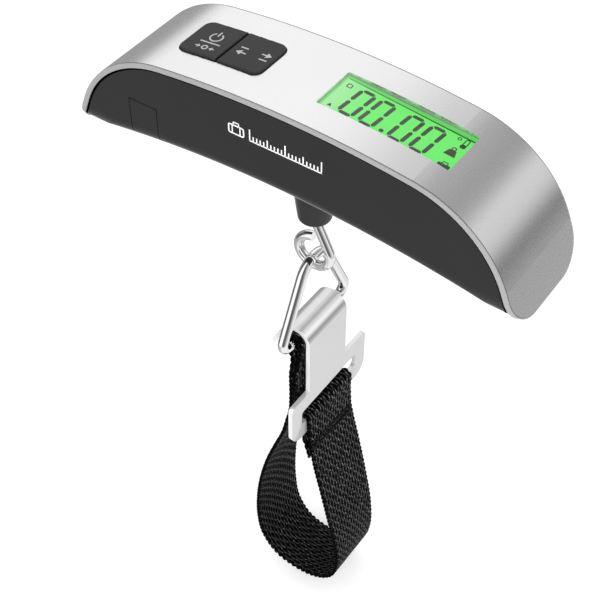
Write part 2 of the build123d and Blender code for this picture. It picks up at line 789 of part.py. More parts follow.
with BuildPart() as strap:
    with BuildSketch(Plane.XZ):
        with BuildLine() as main_run:
            FilletPolyline(
                (main_top_x, hem_join_z),
                (main_top_x, loop_start_z),
                (loop_left_x, loop_bend_z),
                (loop_left_x, loop_bottom_z),
                (loop_right_x, loop_bottom_z),
                (loop_right_x, loop_bend_z),
                (outer_run_x, loop_end_z),
                (outer_run_x, slot_turn_z),
                radius=[40, 40, 13, 12, 45, 25],
            )
        trace(main_run.line, line_width=webbing_thickness)
    extrude(amount=webbing_half_width, both=True)
    with BuildSketch(Plane.XZ):
        with BuildLine() as bar_wrap:
            CenterArc((0, bar_z), wrap_mid, -wrap_open_angle, 180 + 2 * wrap_open_angle)
            for side, foot_x in ((1, hem_top_x), (-1, main_top_x)):
                Line(wrap_point(side), (foot_x, hem_join_z))
        trace(bar_wrap.line, line_width=webbing_thickness)
    extrude(amount=webbing_half_width, both=True)
    with BuildSketch(Plane.XZ):
        with BuildLine() as top_hem:
            Line((hem_top_x, hem_join_z), (hem_top_x, bar_z - hem_length))
        trace(top_hem.line, line_width=webbing_thickness)
    extrude(amount=webbing_half_width, both=True)
    with BuildSketch(Plane.XZ):
        with BuildLine() as slot_wrap:
            CenterArc((hook_mid_radius, slot_turn_z), slot_turn, 0, 180)
            FilletPolyline((inner_run_x, slot_turn_z), (inner_run_x, plate_bottom_z), hem_foot, radius=6)
        trace(slot_wrap.line, line_width=webbing_thickness)
    extrude(amount=webbing_half_width, both=True)
finish(strap.part, "strap")
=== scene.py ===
from math import cos, pi, radians, sin, sqrt, tan

import bmesh
import bpy
import numpy as np
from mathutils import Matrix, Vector


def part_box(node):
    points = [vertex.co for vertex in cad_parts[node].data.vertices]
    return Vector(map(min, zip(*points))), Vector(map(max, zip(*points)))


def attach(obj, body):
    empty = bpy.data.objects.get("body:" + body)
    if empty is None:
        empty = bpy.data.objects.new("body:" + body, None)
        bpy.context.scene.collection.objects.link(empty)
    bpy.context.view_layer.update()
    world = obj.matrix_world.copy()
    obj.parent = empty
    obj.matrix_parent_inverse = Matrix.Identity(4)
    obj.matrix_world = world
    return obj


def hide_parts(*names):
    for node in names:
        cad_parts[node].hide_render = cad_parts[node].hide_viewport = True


# Looks of the hanging luggage scale: camera, studio, materials, printed marks, the lit
# display and the woven webbing. Metres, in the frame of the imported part.

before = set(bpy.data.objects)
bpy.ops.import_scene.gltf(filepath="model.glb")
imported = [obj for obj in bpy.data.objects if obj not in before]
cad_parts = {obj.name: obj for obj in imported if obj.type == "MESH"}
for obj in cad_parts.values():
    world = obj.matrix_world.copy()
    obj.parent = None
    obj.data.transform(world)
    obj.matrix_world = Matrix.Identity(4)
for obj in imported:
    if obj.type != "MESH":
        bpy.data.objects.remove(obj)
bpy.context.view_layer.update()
scene = bpy.context.scene
MM = 0.001


def mm(*values):
    """Millimetres as metres."""
    return tuple(value * MM for value in values)


# ---- Camera ----
CAMERA_PLACE = (0.14057, -0.20706, 0.18850)
CAMERA_AZIMUTH = 35.055
CAMERA_ELEVATION = 46.439
CAMERA_LENS = 79.39
CAMERA_SENSOR = 36.0

camera_data = bpy.data.cameras.new("camera")
camera_data.lens = CAMERA_LENS
camera_data.sensor_width = CAMERA_SENSOR
camera_data.clip_start = 0.01
camera_data.clip_end = 100.0
camera = bpy.data.objects.new("camera", camera_data)
camera.location = CAMERA_PLACE
camera.rotation_euler = (radians(90 - CAMERA_ELEVATION), 0, radians(CAMERA_AZIMUTH))
scene.collection.objects.link(camera)
scene.camera = camera
scene.view_settings.view_transform = "Standard"
scene.view_settings.look = "None"


# ---- Small helpers ----
def add_mesh(name, vertices, faces, material, body):
    """A mesh piece that rides on a body and takes one material."""
    mesh = bpy.data.meshes.new(name)
    mesh.from_pydata([tuple(v) for v in vertices], [], faces)
    mesh.update()
    piece = bpy.data.objects.new(name, mesh)
    scene.collection.objects.link(piece)
    mesh.materials.append(material)
    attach(piece, body)
    return piece


# A colour mix has its factor and its two colours at these sockets.
COLOR_MIX_SOCKETS = ("0", "6", "7")


class Nodes:
    """Short way to add and link shader nodes."""

    def __init__(self, tree, keep=False):
        self.tree = tree
        if not keep:
            tree.nodes.clear()

    def add(self, kind, settings=None, **inputs):
        node = self.tree.nodes.new(kind)
        for key, value in (settings or {}).items():
            setattr(node, key, value)
        for key, value in inputs.items():
            self.set(node, key.replace("_", " "), value)
        return node

    def set(self, node, socket, value):
        target = node.inputs[int(socket)] if socket.isdigit() else node.inputs[socket]
        if isinstance(value, bpy.types.NodeSocket):
            self.tree.links.new(value, target)
        else:
            target.default_value = value

    def math(self, operation, a, b=0.0):
        node = self.add("ShaderNodeMath", {"operation": operation})
        self.set(node, "0", a)
        self.set(node, "1", b)
        return node.outputs[0]

    def ramp(self, factor, stops):
        """A tone or colour that follows the factor through stops."""
        node = self.add("ShaderNodeValToRGB")
        while len(node.color_ramp.elements) < len(stops):
            node.color_ramp.elements.new(0.5)
        for element, (position, value) in zip(node.color_ramp.elements, stops):
            element.position = position
            element.color = (value, value, value, 1) if isinstance(value, (int, float)) else (*value, 1)
        self.set(node, "Fac", factor)
        return node.outputs["Color"]

    def noise(self, coordinates, size, detail=3.0, stretch=None):
        """Noise whose features are about size metres, stretched along an axis if asked."""
        if stretch:
            mapping = self.add("ShaderNodeMapping", Scale=stretch)
            self.set(mapping, "Vector", coordinates)
            coordinates = mapping.outputs[0]
        node = self.add("ShaderNodeTexNoise")
        self.set(node, "Vector", coordinates)
        self.set(node, "Scale", 1 / size)
        self.set(node, "Detail", detail)
        return node.outputs[0]

    def span(self, value, edges, ends=(0.0, 1.0), curve="LINEAR"):
        """How far the value has come between its two edges, as a number between the two ends."""
        node = self.add("ShaderNodeMapRange", {"interpolation_type": curve}, From_Min=edges[0],
                        From_Max=edges[1], To_Min=ends[0], To_Max=ends[1])
        self.set(node, "Value", value)
        return node.outputs[0]

    def blend(self, factor, first, second):
        """The first colour where the factor is 0, the second where it is 1."""
        node = self.add("ShaderNodeMix", {"data_type": "RGBA"})
        for socket, value in zip(COLOR_MIX_SOCKETS, (factor, first, second)):
            self.set(node, socket, value)
        return node.outputs[2]

    def split(self, vector):
        """The x, y and z of a vector."""
        node = self.add("ShaderNodeSeparateXYZ")
        self.set(node, "Vector", vector)
        return tuple(node.outputs)

    def place(self):
        """Places in the piece's own coordinates."""
        return self.add("ShaderNodeTexCoord").outputs["Object"]

    def show(self, shader, output="ShaderNodeOutputMaterial"):
        """Links the finished shader to the tree's output."""
        self.set(self.add(output), "Surface", shader.outputs[0])

    def principled(self):
        """The principled shader that the tree already holds."""
        return next(node for node in self.tree.nodes if node.type == "BSDF_PRINCIPLED")


def new_material(name):
    material = bpy.data.materials.new(name)
    material.use_nodes = True
    return material, Nodes(material.node_tree)


def surface(name, color, roughness, metallic=0.0, grain=0.0003, bump=0.000004, spread=0.06,
            tint=0.05, smudge=0.012, stretch=None, **sockets):
    """A finished surface: fine grain in the bump and roughness, broad smudges in the colour."""
    material, nodes = new_material(name)
    place = nodes.place()
    fine = nodes.noise(place, grain, 4.0, stretch)
    broad = nodes.noise(place, smudge, 3.0)
    low = tuple(channel * (1 - tint) for channel in color)
    high = tuple(min(1.0, channel * (1 + tint)) for channel in color)
    base = nodes.ramp(broad, [(0.3, low), (0.7, high)])
    rough = nodes.ramp(fine, [(0.3, max(0.0, roughness - spread)), (0.7, min(1.0, roughness + spread))])
    relief = nodes.add("ShaderNodeBump", Strength=1.0, Distance=bump)
    nodes.set(relief, "Height", fine)
    shader = nodes.add("ShaderNodeBsdfPrincipled", Metallic=metallic)
    nodes.set(shader, "Base Color", base)
    nodes.set(shader, "Roughness", rough)
    nodes.set(shader, "Normal", relief.outputs[0])
    for socket, value in sockets.items():
        nodes.set(shader, socket.replace("_", " "), value)
    nodes.show(shader)
    return material


def paint(node, material):
    """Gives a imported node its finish."""
    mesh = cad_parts[node].data
    mesh.materials.clear()
    mesh.materials.append(material)


SHARP_ANGLE = 35.0
WELD_REACH = 0.002 * MM


def soften(node, width):
    """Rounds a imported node's sharp edges a little, without moving its mesh."""
    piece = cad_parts[node]
    piece.data.shade_smooth()
    weld = piece.modifiers.new("weld", "WELD")
    weld.merge_threshold = WELD_REACH
    bevel = piece.modifiers.new("bevel", "BEVEL")
    bevel.width = width
    bevel.segments = 3
    bevel.limit_method = "ANGLE"
    bevel.angle_limit = radians(SHARP_ANGLE)
    bevel.use_clamp_overlap = True
    normals = piece.modifiers.new("normals", "WEIGHTED_NORMAL")
    normals.keep_sharp = True
    normals.weight = 100


# ---- Studio: white round about, with the dark and light bands that the metal mirrors ----
# Each stop is a direction in degrees and how bright the room is there. Behind the case and
# low in front the direction runs across it, from straight up towards +X; at eye height in
# front it runs round the horizon, from +X towards +Y.
REAR_BANDS = [
    (-180, 0.40), (-150, 0.33), (-98, 0.34), (-84, 0.34), (-68, 1.02), (-26, 1.08), (-16, 0.60), (-2, 0.42),
    (10, 0.40), (25, 0.33), (38, 0.36), (46, 0.58), (52, 0.78), (60, 0.72), (72, 0.70), (80, 0.50),
    (88, 0.20), (95, 0.18), (104, 0.30), (118, 0.33), (125, 0.45), (130, 1.10), (137, 1.05), (143, 0.88),
    (151, 0.83), (165, 0.83), (180, 0.40),
]
LOW_BANDS = [
    (-180, 0.80), (-150, 0.50), (-130, 0.42), (-110, 0.36), (-60, 0.30), (60, 0.30), (100, 0.35),
    (128, 0.95), (180, 0.95),
]
FRONT_BANDS = [
    (-180, 0.30), (-168, 0.12), (-146, 0.12), (-138, 0.85), (-126, 1.2), (-90, 1.2), (-82, 0.55),
    (-75, 0.12), (-50, 0.12), (-40, 0.20), (-31, 0.33), (-18, 0.58), (0, 0.85), (60, 0.85),
    (120, 0.85), (150, 0.30), (180, 0.30),
]
# Where one set of bands gives way to the next: y of the direction at the rear, z in front.
REAR_EDGE = (0.25, 0.45)
FRONT_EDGE = (-0.58, -0.38)
STUDIO_FILL = 1.0


def make_studio():
    world = bpy.data.worlds.new("studio")
    world.use_nodes = True
    scene.world = world
    nodes = Nodes(world.node_tree)
    x, y, z = nodes.split(nodes.add("ShaderNodeTexCoord").outputs["Generated"])

    def bands(turn, stops):
        share = nodes.math("ADD", nodes.math("MULTIPLY", turn, 1 / (2 * pi)), 0.5)
        return nodes.ramp(share, [((angle + 180) / 360, value) for angle, value in stops])

    across = nodes.math("ARCTAN2", x, z)
    around = nodes.math("ARCTAN2", y, x)
    level = nodes.span(z, FRONT_EDGE, curve="SMOOTHSTEP")
    near = nodes.blend(level, bands(across, LOW_BANDS), bands(around, FRONT_BANDS))
    room = nodes.blend(nodes.span(y, REAR_EDGE, curve="SMOOTHSTEP"), near, bands(across, REAR_BANDS))
    path = nodes.add("ShaderNodeLightPath")
    mirrored = nodes.add("ShaderNodeBackground")
    nodes.set(mirrored, "Color", room)
    fill = nodes.add("ShaderNodeBackground", Color=(1, 1, 1, 1), Strength=STUDIO_FILL)
    mix = nodes.add("ShaderNodeMixShader")
    nodes.set(mix, "Fac", path.outputs["Is Glossy Ray"])
    nodes.set(mix, "1", fill.outputs[0])
    nodes.set(mix, "2", mirrored.outputs[0])
    nodes.show(mix, "ShaderNodeOutputWorld")


def add_light(name, place, aim, size, power):
    data = bpy.data.lights.new(name, "AREA")
    data.shape = "DISK"
    data.size = size
    data.energy = power
    lamp = bpy.data.objects.new(name, data)
    lamp.location = place
    lamp.rotation_euler = (Vector(aim) - Vector(place)).to_track_quat("-Z", "Y").to_euler()
    lamp.visible_glossy = False
    scene.collection.objects.link(lamp)


FLOOR_REACH = 3.0
FLOOR_GLOW = 0.25
FLOOR_TONE = 0.86
FLOOR_MOTTLE = 0.005
FLOOR_MOTTLE_SIZE = 0.4


def make_floor(height):
    material, nodes = new_material("floor")
    mottle = nodes.noise(nodes.place(), FLOOR_MOTTLE_SIZE)
    tone = nodes.ramp(mottle, [(0.0, FLOOR_TONE - FLOOR_MOTTLE), (1.0, FLOOR_TONE + FLOOR_MOTTLE)])
    shader = nodes.add("ShaderNodeBsdfPrincipled", Roughness=0.9)
    nodes.set(shader, "Base Color", tone)
    nodes.set(shader, "Specular IOR Level", 0.0)
    nodes.set(shader, "Emission Color", (1, 1, 1, 1))
    nodes.set(shader, "Emission Strength", FLOOR_GLOW)
    nodes.show(shader)
    mesh = bpy.data.meshes.new("floor")
    corners = [(x * FLOOR_REACH, y * FLOOR_REACH, height) for x, y in ((-1, -1), (1, -1), (1, 1), (-1, 1))]
    mesh.from_pydata(corners, [], [(0, 1, 2, 3)])
    mesh.materials.append(material)
    floor = bpy.data.objects.new("floor", mesh)
    scene.collection.objects.link(floor)
    floor.visible_glossy = False


# ---- Materials ----
skin_metal = surface("skin_metal", (0.86, 0.86, 0.86), 0.25, 1.0, grain=0.00022, bump=0.0000011,
                     spread=0.05, tint=0.015, smudge=0.03)
rim_silver = surface("rim_silver", (0.28, 0.28, 0.28), 0.34, 0.0, grain=0.0002, bump=0.000002,
                     tint=0.02, Specular_IOR_Level=0.6)
charcoal = surface("charcoal", (0.0115, 0.0115, 0.0115), 0.40, grain=0.00016, bump=0.000004,
                   tint=0.06, smudge=0.02, Specular_IOR_Level=0.3, Sheen_Weight=0.85, Sheen_Roughness=0.20)
key_rubber = surface("key_rubber", (0.024, 0.024, 0.024), 0.48, grain=0.00016, bump=0.000004, tint=0.04,
                     Specular_IOR_Level=0.35)
inner_black = surface("inner_black", (0.02, 0.02, 0.02), 0.5, grain=0.0003, bump=0.000006)
chrome = surface("chrome", (0.90, 0.90, 0.90), 0.06, 1.0, grain=0.0006, bump=0.0000010, spread=0.03,
                 tint=0.02, smudge=0.004)
plated_sheet = surface("plated_sheet", (0.80, 0.80, 0.80), 0.10, 1.0, grain=0.0004, bump=0.0000012,
                       spread=0.03, tint=0.02, smudge=0.006)

# Painted reflections: tones of the hook plate by the way its surface faces along its own X, standing in for
# the room that it mirrors: 0 for -X, 1 for +X.
PLATE_PAINTED_REFLECTIONS = [
    (0.05, 0.40), (0.22, 0.40), (0.36, 0.85), (0.60, 0.85), (0.67, 0.28), (0.74, 0.95), (0.86, 0.95),
    (0.93, 0.0), (0.965, 0.22), (0.985, 0.40),
]
# painted highlight: the flat light grey of the plate's sheared edges
PLATE_EDGE_HIGHLIGHT = (0.50, 0.50, 0.50, 1)
PLATE_MIRROR = 0.45


def paint_plate_reflections(material):
    """Paints light into the plate's colour: mostly a painted reflection, a tone set by the way each face
    turns, on its flat sides and along its bend, and a painted highlight, flat light grey, on its sheared
    edges; only a share is true metal that mirrors the room.
    """
    nodes = Nodes(material.node_tree, keep=True)
    shader = nodes.principled()
    facing = nodes.add("ShaderNodeVectorTransform", {"vector_type": "NORMAL", "convert_from": "WORLD",
                                                     "convert_to": "OBJECT"})
    nodes.set(facing, "Vector", nodes.add("ShaderNodeNewGeometry").outputs["True Normal"])
    x, y, _ = nodes.split(facing.outputs[0])
    edges = nodes.span(nodes.math("ABSOLUTE", y), (0.75, 0.95), (1.0, 0.50))
    sides = nodes.span(nodes.math("ABSOLUTE", x), (0.94, 0.99), (1.0, 0.25))
    mirror = nodes.math("MULTIPLY", nodes.math("MULTIPLY", edges, sides), PLATE_MIRROR)
    turned = nodes.math("ADD", nodes.math("MULTIPLY", x, 0.5), 0.5)
    painted_light = nodes.blend(edges, PLATE_EDGE_HIGHLIGHT, nodes.ramp(turned, PLATE_PAINTED_REFLECTIONS))
    metal = shader.inputs["Base Color"].links[0].from_socket
    nodes.set(shader, "Base Color", nodes.blend(mirror, painted_light, metal))
    nodes.set(shader, "Metallic", mirror)


paint_plate_reflections(plated_sheet)
zinc = surface("zinc", (0.55, 0.55, 0.54), 0.3, 1.0, grain=0.0004, bump=0.000004)
beam_metal = surface("beam_metal", (0.62, 0.61, 0.59), 0.33, 1.0, grain=0.00025, bump=0.000005,
                     stretch=(0.1, 1, 1))
cell_metal = surface("cell_metal", (0.74, 0.74, 0.72), 0.28, 1.0, grain=0.0002, bump=0.000003)
contact_metal = surface("contact_metal", (0.80, 0.66, 0.42), 0.25, 1.0, grain=0.0003, bump=0.000003)
gauge_film = surface("gauge_film", (0.55, 0.30, 0.10), 0.3, grain=0.0004, bump=0.000003)
thread = surface("thread", (0.010, 0.010, 0.010), 0.5, grain=0.0002, bump=0.00002, tint=0.5,
                 smudge=0.0008, Specular_IOR_Level=0.3)
white_print = surface("white_print", (0.80, 0.80, 0.80), 0.5, grain=0.0002, bump=0.000002)
legend_print = surface("legend_print", (0.50, 0.50, 0.50), 0.5, grain=0.0002, bump=0.000002)
segment_ink = surface("segment_ink", (0.055, 0.058, 0.045), 0.6, grain=0.0002, bump=0.000001)


def board_material():
    """Green solder mask over a net of copper tracks."""
    material = surface("solder_mask", (0.02, 0.14, 0.06), 0.35, grain=0.0005, bump=0.000006)
    nodes = Nodes(material.node_tree, keep=True)
    tracks = nodes.add("ShaderNodeTexBrick", Scale=300.0, Mortar_Size=0.05, Color1=(0.02, 0.13, 0.055, 1),
                       Color2=(0.018, 0.11, 0.05, 1), Mortar=(0.05, 0.25, 0.10, 1))
    nodes.set(tracks, "Vector", nodes.place())
    nodes.set(nodes.principled(), "Base Color", tracks.outputs["Color"])
    return material


def lens_material():
    """A thin clear window: what lies under it, and a faint mirror of the room on its faces."""
    material, nodes = new_material("clear_lens")
    wipe = nodes.noise(nodes.place(), 6 * MM, 3.0)
    tone = nodes.ramp(wipe, [(0.3, (0.975, 0.985, 0.975)), (0.7, (0.99, 0.995, 0.99))])
    rough = nodes.ramp(wipe, [(0.3, 0.03), (0.7, 0.07)])
    clear = nodes.add("ShaderNodeBsdfTransparent")
    nodes.set(clear, "Color", tone)
    gloss = nodes.add("ShaderNodeBsdfGlossy", Color=(1, 1, 1, 1))
    nodes.set(gloss, "Roughness", rough)
    fresnel = nodes.add("ShaderNodeFresnel", IOR=1.40).outputs[0]
    inside = nodes.add("ShaderNodeNewGeometry").outputs["Backfacing"]
    mix = nodes.add("ShaderNodeMixShader")
    nodes.set(mix, "Fac", nodes.math("MULTIPLY", fresnel, nodes.math("SUBTRACT", 1.0, inside)))
    nodes.set(mix, "1", clear.outputs[0])
    nodes.set(mix, "2", gloss.outputs[0])
    nodes.show(mix)
    return material


LCD_GREEN = (0.135, 0.800, 0.130)
LCD_PAINTED_REFLECTION = (0.41, 0.79, 0.40)
# The painted reflection, a whitish haze in the glow, thins out between these two places along X.
PAINTED_REFLECTION_SPAN = mm(4.5, 15.0)
PANEL_MOTTLE = 0.05


def lit_material(name, color, painted_reflection, strength):
    """A lit panel: mostly its own light, with a painted reflection, whitish, mixed into its glow towards its
    left end, and a faint mottle.
    """
    material = surface(name, tuple(channel * 0.1 for channel in color), 0.5, grain=0.0006, bump=0.000001)
    nodes = Nodes(material.node_tree, keep=True)
    shader = nodes.principled()
    place = nodes.place()
    left = nodes.span(nodes.split(place)[0], PAINTED_REFLECTION_SPAN)
    noise = nodes.noise(place, 1.5 * MM)
    mottle = nodes.math("MULTIPLY", nodes.math("SUBTRACT", noise, 0.5), PANEL_MOTTLE)
    between = tuple((reflected + 4 * clear) / 5 for reflected, clear in zip(painted_reflection, color))
    glow = nodes.ramp(nodes.math("ADD", left, mottle), [(0.0, painted_reflection), (0.6, between), (1.0, color)])
    nodes.set(shader, "Emission Color", glow)
    nodes.set(shader, "Emission Strength", strength)
    return material


FIBRE_SIZE = 0.16 * MM
PAINTED_GLINT_SIZE = 0.34 * MM
STRAND_SHARE = 0.80
YARN_RELIEF = 0.06 * MM
# Painted shade and highlight: tones from the gaps between the yarns, black as painted shade, up to their
# crowns, light as a painted highlight.
YARN_PAINTED_TONES = [(0.40, 0.0003), (0.66, 0.0025), (0.84, 0.020), (1.0, 0.200)]


def webbing_material():
    """Woven nylon with light painted into its colour: painted glints of fine fibres and a painted highlight
    on the yarns' crowns, and painted shade, black, in the gaps between them.
    """
    material, nodes = new_material("webbing")
    place = nodes.add("ShaderNodeAttribute", {"attribute_name": "lay"}).outputs["Vector"]
    crown = nodes.add("ShaderNodeAttribute", {"attribute_name": "crown"}).outputs["Fac"]
    fibre = nodes.noise(place, FIBRE_SIZE, 2.0, (1, 0.30, 1))
    painted_glint = nodes.noise(place, PAINTED_GLINT_SIZE, 2.0, (1, 0.45, 1))
    # the fibres' grain together with the painted glints
    grain = nodes.math("SUBTRACT", nodes.math("ADD", fibre, painted_glint), 1.0)
    lift = nodes.math("ADD", crown, nodes.math("MULTIPLY", grain, STRAND_SHARE))
    base = nodes.ramp(lift, YARN_PAINTED_TONES)
    relief = nodes.add("ShaderNodeBump", Strength=1.0, Distance=YARN_RELIEF)
    nodes.set(relief, "Height", lift)
    rough = nodes.ramp(fibre, [(0.3, 0.50), (0.7, 0.66)])
    shader = nodes.add("ShaderNodeBsdfPrincipled")
    nodes.set(shader, "Base Color", base)
    nodes.set(shader, "Roughness", rough)
    nodes.set(shader, "Normal", relief.outputs[0])
    nodes.set(shader, "Specular IOR Level", 0.05)
    nodes.show(shader)
    return material


# painted glow: the wall round the display glows green, standing in for the display's light falling on it
bezel_painted_glow = lit_material("bezel_painted_glow", (0.09, 0.62, 0.09), (0.16, 0.62, 0.16), 1.0)

FINISHES = {
    "top_skin": skin_metal,
    "top_shell": rim_silver,
    "lower_housing": charcoal,
    "battery_cover": charcoal,
    "case_screws": zinc,
    "display_lens": lens_material(),
    "lcd_glass": lit_material("lcd_lit", LCD_GREEN, LCD_PAINTED_REFLECTION, 0.98),
    "backlight": lit_material("backlight_lit", LCD_GREEN, LCD_GREEN, 0.8),
    "lcd_frame": inner_black,
    "power_key": key_rubber,
    "unit_key": key_rubber,
    "power_switch": inner_black,
    "unit_switch": inner_black,
    "circuit_board": board_material(),
    "controller_seal": inner_black,
    "load_cell": beam_metal,
    "strain_gauges": gauge_film,
    "beam_screws": zinc,
    "coin_cell": cell_metal,
    "battery_cradle": inner_black,
    "battery_contact_plus": contact_metal,
    "battery_contact_minus": contact_metal,
    "eye": chrome,
    "eye_washer": zinc,
    "eye_nut": zinc,
    "link": chrome,
    "hook_plate": plated_sheet,
    "strap": inner_black,
}
for node, material in FINISHES.items():
    paint(node, material)

soften("hook_plate", 0.35 * MM)
soften("lower_housing", 0.12 * MM)
soften("battery_cover", 0.10 * MM)
soften("top_shell", 0.12 * MM)


# ---- Printed marks: thin slabs laid on a surface ----
class Print:
    """Collects flat marks drawn in a surface's own two directions, then builds one slab of ink."""

    def __init__(self, place, thickness):
        self.place = place
        self.thickness = thickness
        self.vertices = []
        self.faces = []

    def slab(self, outline):
        """A filled convex outline."""
        start, count = len(self.vertices), len(outline)
        for height in (0.0, self.thickness):
            self.vertices += [self.place(u, v, height) for u, v in outline]
        self.faces.append([start + i for i in reversed(range(count))])
        self.faces.append([start + count + i for i in range(count)])
        for i in range(count):
            j = (i + 1) % count
            self.faces.append([start + i, start + j, start + count + j, start + count + i])

    def stroke(self, points, width, closed=False):
        """A line of even width through points, as one strip of quads."""
        count = len(points)
        left, right = [], []
        for i, (u, v) in enumerate(points):
            before = points[i - 1] if i or closed else points[i]
            after = points[(i + 1) % count] if i < count - 1 or closed else points[i]
            du, dv = after[0] - before[0], after[1] - before[1]
            length = sqrt(du * du + dv * dv)
            nu, nv = -dv / length * width / 2, du / length * width / 2
            left.append((u + nu, v + nv))
            right.append((u - nu, v - nv))
        for i in range(count if closed else count - 1):
            j = (i + 1) % count
            self.slab([right[i], right[j], left[j], left[i]])

    def build(self, name, material, body):
        add_mesh(name, self.vertices, self.faces, material, body)


def arc(centre, radius, start, end, steps=20):
    """Points along an arc, angles in degrees."""
    turns = [radians(start + (end - start) * i / steps) for i in range(steps + 1)]
    return [(centre[0] + radius * cos(t), centre[1] + radius * sin(t)) for t in turns]


def rounded(centre, width, height, radius):
    """The outline of a rounded rectangle."""
    points = []
    corners = ((1, 1, 0), (-1, 1, 90), (-1, -1, 180), (1, -1, 270))
    for side, rise, start in corners:
        middle = (centre[0] + side * (width / 2 - radius), centre[1] + rise * (height / 2 - radius))
        points += arc(middle, radius, start, start + 90, 5)
    return points


def sorted_turn(outline):
    """The outline, turned the way that faces up."""
    (ax, ay), (bx, by), (cx, cy) = outline[:3]
    turn = (bx - ax) * (cy - ay) - (by - ay) * (cx - ax)
    return outline if turn > 0 else outline[::-1]


def arrow_head(tip, back, half):
    """A triangle that points at its tip; back is how far its base lies along +X from there."""
    return sorted_turn([tip, (tip[0] + back, tip[1] + half), (tip[0] + back, tip[1] - half)])


INK_THICKNESS = 0.03 * MM
DOME_RADIUS = 283.0 * MM


def dome_height(x, proud=0.0):
    """Height of the dome's crown, or of a surface that stands proud of it and follows it."""
    return proud - x * x / (2 * (DOME_RADIUS + proud))


# ---- Legends on the keys: power ring over a zero sign, and the swap arrows of the unit key ----
LEGEND_WIDTH = 0.42 * MM
KEY_PROUD = 0.55 * MM
KEY_INK_SUNK = 0.01 * MM
POWER_X = -30.3 * MM
RING_Y, RING_RADIUS = mm(1.1, 1.65)
RING_ARC = (122, 418)
ZERO_Y, ZERO_RADIUS = mm(-3.7, 0.72)
UNIT_X = -18.0 * MM
UNIT_LEVELS = ((1, 0.75 * MM), (-1, -1.25 * MM))


def on_key(u, v, height):
    """A place on the keys' tops."""
    return (u, v, dome_height(u, KEY_PROUD) + height - KEY_INK_SUNK)


def draw_power_legend():
    ink = Print(on_key, INK_THICKNESS)
    ink.stroke(arc((POWER_X, RING_Y), RING_RADIUS, *RING_ARC), LEGEND_WIDTH)
    ink.stroke([(POWER_X, RING_Y + 0.5 * MM), (POWER_X, RING_Y + 2.4 * MM)], LEGEND_WIDTH)
    ink.stroke([mm(-33.2, -1.55), mm(-27.3, -1.55)], LEGEND_WIDTH)
    ink.stroke(arc((POWER_X, ZERO_Y), ZERO_RADIUS, 0, 360), LEGEND_WIDTH * 0.9)
    for side in (-1, 1):
        tip = POWER_X + side * 1.35 * MM
        ink.stroke([(tip + side * 1.45 * MM, ZERO_Y), (tip, ZERO_Y)], LEGEND_WIDTH * 0.8)
        ink.slab(arrow_head((tip, ZERO_Y), side * 0.8 * MM, 0.7 * MM))
    ink.build("power_legend", legend_print, "key_power")


def draw_unit_legend():
    ink = Print(on_key, INK_THICKNESS)
    for side, level in UNIT_LEVELS:
        tip = UNIT_X + side * 4.6 * MM
        ink.stroke([(UNIT_X - side * 4.4 * MM, level), (tip - side * 0.6 * MM, level)], LEGEND_WIDTH)
        ink.slab(arrow_head((tip, level), -side * 1.5 * MM, 1.0 * MM))
    ink.build("unit_legend", legend_print, "key_unit")


draw_power_legend()
draw_unit_legend()

# ---- Display: four seven-segment digits and small marks on the liquid crystal glass ----
lcd_low, lcd_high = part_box("lcd_glass")
LCD_TILT = radians(5.175)
LCD_HALF_THICKNESS, LCD_HALF_LENGTH = mm(0.8, 18.8)
LCD_INK_LIFT = 0.01 * MM
lcd_middle_x = (lcd_low.x + lcd_high.x) / 2 + LCD_HALF_THICKNESS * sin(LCD_TILT)
lcd_face_z = lcd_high.z - LCD_HALF_LENGTH * sin(LCD_TILT)
SEGMENT_WIDTH, SEGMENT_GAP = mm(1.02, 0.16)
DIGIT_SLANT = 0.085
DIGIT_MIDDLE = 0.45 * MM
DIGIT_HALF_WIDTH, DIGIT_HALF_HEIGHT = mm(1.78, 4.75)
DIGIT_PLACES = mm(-11.3, -5.75, 2.2, 8.0)


def on_lcd(u, v, height):
    """A place on the tilted face of the glass, from the middle of that face."""
    lift = height + LCD_INK_LIFT
    x = lcd_middle_x + u * cos(LCD_TILT) + lift * sin(LCD_TILT)
    z = lcd_face_z - u * sin(LCD_TILT) + lift * cos(LCD_TILT)
    return (x, v, z)


def segment(start, end, middle):
    """A display segment with pointed ends, slanted about the digit's middle."""
    du, dv = end[0] - start[0], end[1] - start[1]
    length = sqrt(du * du + dv * dv)
    du, dv = du / length, dv / length
    half = SEGMENT_WIDTH / 2
    reach = length - 2 * SEGMENT_GAP
    outline = []
    for along, aside in ((0, 0), (half, -half), (reach - half, -half), (reach, 0), (reach - half, half),
                         (half, half)):
        u = start[0] + du * (along + SEGMENT_GAP) - dv * aside
        v = start[1] + dv * (along + SEGMENT_GAP) + du * aside
        outline.append((middle + u + DIGIT_SLANT * v, DIGIT_MIDDLE + v))
    return outline


